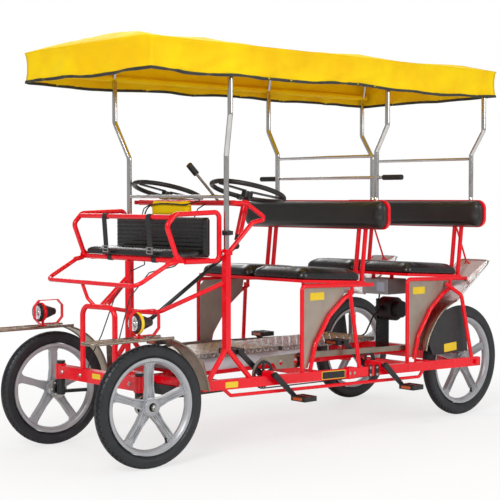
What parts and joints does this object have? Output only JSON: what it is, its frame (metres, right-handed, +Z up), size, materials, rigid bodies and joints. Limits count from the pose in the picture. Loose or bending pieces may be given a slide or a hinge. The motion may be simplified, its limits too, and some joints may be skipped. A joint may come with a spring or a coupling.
{
  "type": "pedal quadricycle",
  "caption": "Four-wheeled pedal quadricycle with two benches, a front child seat, twin hand wheels and a fabric canopy on chrome posts.",
  "frame": {"origin": "on the ground, at the middle of the overall box", "axes": "+Z up, the front faces -Y, +X is the vehicle's left side"},
  "size_m": [1.1472, 2.656, 1.866],
  "materials": {
    "red_paint": "gloss",
    "chrome": "polished",
    "steel": "satin",
    "silver_cast": "satin",
    "tyre": "matt",
    "black_vinyl": "gloss",
    "black_metal": "satin",
    "black_plastic": "matt",
    "rubber": "matt",
    "canopy_fabric": "matt",
    "webbing": "matt",
    "tread_plate": "satin",
    "grey_case": "satin"
  },
  "bodies": {
    "chassis": {"back_frames": "red_paint", "backrests": "black_vinyl", "bar_grips": "rubber", "basket_bars": "red_paint", "basket_sides": "red_paint", "battery_case": "grey_case", "canopy": "canopy_fabric", "canopy_crossbars": "chrome", "canopy_frame": "chrome", "canopy_posts": "chrome", "centre_spine": "red_paint", "chain_guards": "steel", "chains": "black_metal", "child_backrest": "black_vinyl", "child_cushion": "black_vinyl", "child_foot_rest": "red_paint", "child_straps": "webbing", "control_box": "grey_case", "control_linkage": "black_metal", "cross_members": "red_paint", "dash_bar": "red_paint", "dash_pouch": "canopy_fabric", "equipment_brackets": "red_paint", "front_beam": "red_paint", "front_column": "red_paint", "front_hoop": "red_paint", "front_mudguards": "steel", "front_side_frames": "red_paint", "front_stays": "red_paint", "grip_bar": "chrome", "headlight_guards": "red_paint", "headlights": "black_metal", "main_posts": "red_paint", "motor": "black_metal", "rear_axle": "red_paint", "rear_mudguards": "steel", "rear_side_frames": "red_paint", "rear_wheel_panels": "black_plastic", "seat_pads": "black_vinyl", "seat_trays": "red_paint", "side_panels": "steel", "side_rails": "red_paint", "tail_panel": "steel", "tread_platform": "tread_plate"},
    "knuckle_left": {"knuckle_left": "black_metal"},
    "knuckle_right": {"knuckle_right": "black_metal"},
    "wheel_front_left": {"front_tyre_left": "tyre", "front_wheel_left": "silver_cast"},
    "wheel_front_right": {"front_tyre_right": "tyre", "front_wheel_right": "silver_cast"},
    "wheel_rear_left": {"rear_tyre_left": "tyre", "rear_wheel_left": "silver_cast"},
    "wheel_rear_right": {"rear_tyre_right": "tyre", "rear_wheel_right": "silver_cast"},
    "hand_wheel_left": {"steering_wheel_left": "black_plastic"},
    "hand_wheel_right": {"steering_wheel_right": "black_plastic"},
    "cranks_front_left": {"crank_front_left": "black_metal"},
    "cranks_front_right": {"crank_front_right": "black_metal"},
    "cranks_rear_left": {"crank_rear_left": "black_metal"},
    "cranks_rear_right": {"crank_rear_right": "black_metal"}
  },
  "joints": [
    {"name": "steer_left", "type": "hinge", "parent": "chassis", "child": "knuckle_left", "pos_m": [0.29, -0.994, 0.345], "axis": [0, 0, 1], "range_deg": [-25, 35]},
    {"name": "roll_front_left", "type": "hinge", "parent": "knuckle_left", "child": "wheel_front_left", "pos_m": [0.36472, -1.00054, 0.26], "axis": [0.9962, -0.0872, 0], "continuous": true},
    {"name": "roll_rear_left", "type": "hinge", "parent": "chassis", "child": "wheel_rear_left", "pos_m": [0.383, 1.043, 0.285], "axis": [1, 0, 0], "continuous": true},
    {"name": "hand_wheel_turn_left", "type": "hinge", "parent": "chassis", "child": "hand_wheel_left", "pos_m": [0.288, -0.372, 1.16], "axis": [0, 0.2756, 0.9613], "range_deg": [-50, 70]},
    {"name": "steer_right", "type": "hinge", "parent": "chassis", "child": "knuckle_right", "pos_m": [-0.29, -0.994, 0.345], "axis": [0, 0, 1], "range_deg": [-25, 35]},
    {"name": "roll_front_right", "type": "hinge", "parent": "knuckle_right", "child": "wheel_front_right", "pos_m": [-0.36472, -0.98746, 0.26], "axis": [0.9962, -0.0872, 0], "continuous": true},
    {"name": "roll_rear_right", "type": "hinge", "parent": "chassis", "child": "wheel_rear_right", "pos_m": [-0.383, 1.043, 0.285], "axis": [1, 0, 0], "continuous": true},
    {"name": "hand_wheel_turn_right", "type": "hinge", "parent": "chassis", "child": "hand_wheel_right", "pos_m": [-0.288, -0.372, 1.16], "axis": [0, 0.2756, 0.9613], "range_deg": [-50, 70]},
    {"name": "pedal_front_left", "type": "hinge", "parent": "chassis", "child": "cranks_front_left", "pos_m": [0.37542, -0.325, 0.33231], "axis": [1, 0, 0], "continuous": true},
    {"name": "pedal_front_right", "type": "hinge", "parent": "chassis", "child": "cranks_front_right", "pos_m": [-0.37542, -0.325, 0.33231], "axis": [1, 0, 0], "continuous": true},
    {"name": "pedal_rear_left", "type": "hinge", "parent": "chassis", "child": "cranks_rear_left", "pos_m": [0.42565, 0.362, 0.32187], "axis": [1, 0, 0], "continuous": true},
    {"name": "pedal_rear_right", "type": "hinge", "parent": "chassis", "child": "cranks_rear_right", "pos_m": [-0.42565, 0.362, 0.32187], "axis": [1, 0, 0], "continuous": true}
  ],
  "couplings": [
    {"joint": "steer_right", "follows": "steer_left", "ratio": 1},
    {"joint": "hand_wheel_turn_left", "follows": "steer_left", "ratio": 2},
    {"joint": "hand_wheel_turn_right", "follows": "steer_left", "ratio": 2}
  ]
}
